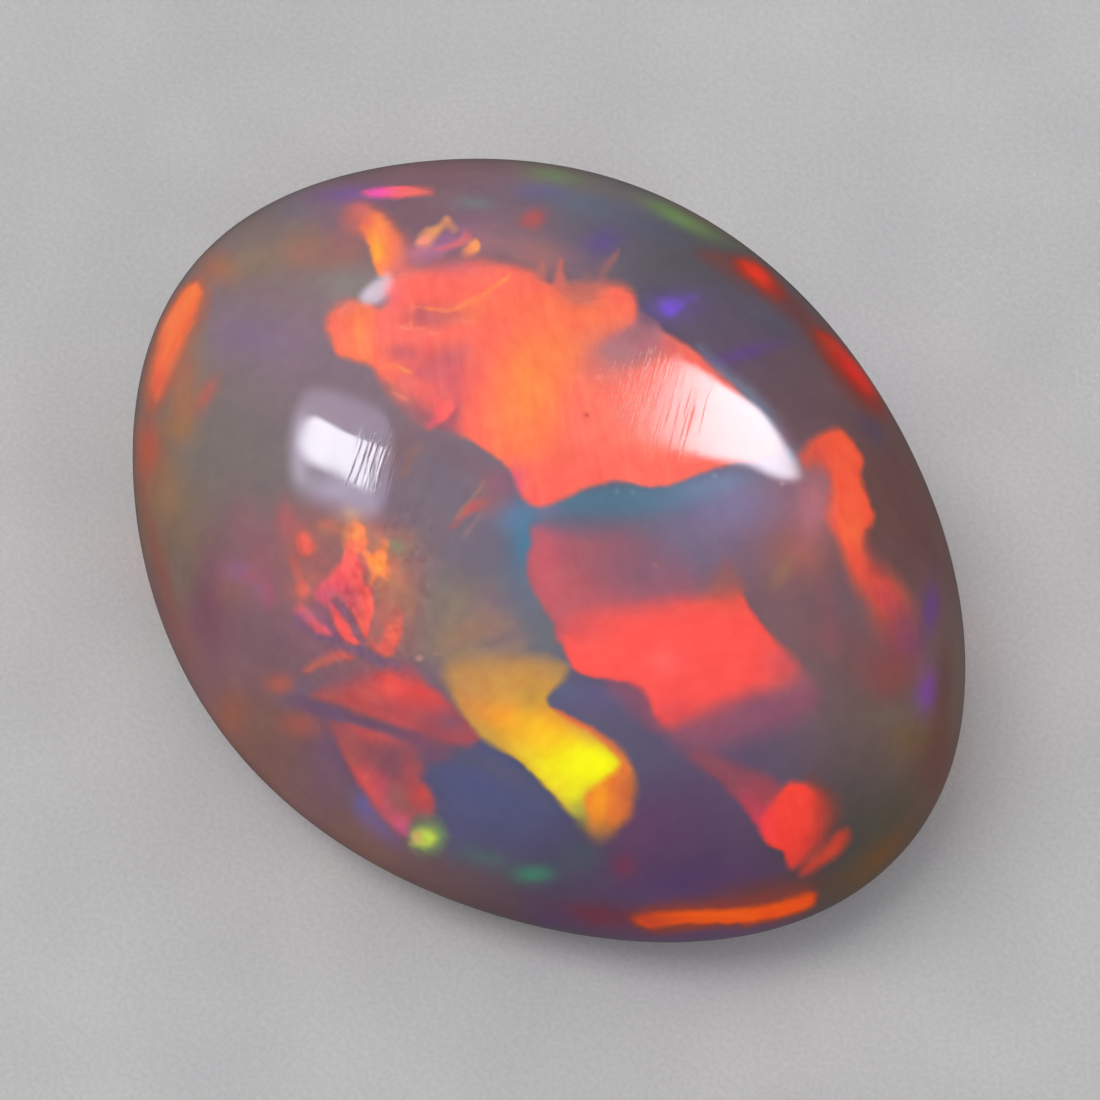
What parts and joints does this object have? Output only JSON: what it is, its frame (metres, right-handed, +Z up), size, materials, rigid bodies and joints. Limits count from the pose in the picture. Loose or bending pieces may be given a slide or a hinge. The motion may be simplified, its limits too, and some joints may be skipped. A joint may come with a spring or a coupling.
{
  "type": "ethiopian opal cabochon",
  "caption": "Loose high-domed oval opal cabochon, polished, with play of colour in a grey translucent body; lies on its flat base or seats in a bezel.",
  "frame": {"origin": "middle of the flat base, on the surface the stone rests on", "axes": "+X along the oval's long axis, +Y across it, +Z up through the crown of the dome"},
  "size_m": [0.0156, 0.0122, 0.0074],
  "materials": {
    "opal": "polished"
  },
  "bodies": {
    "root": {"opal_cabochon": "opal"}
  },
  "joints": []
}
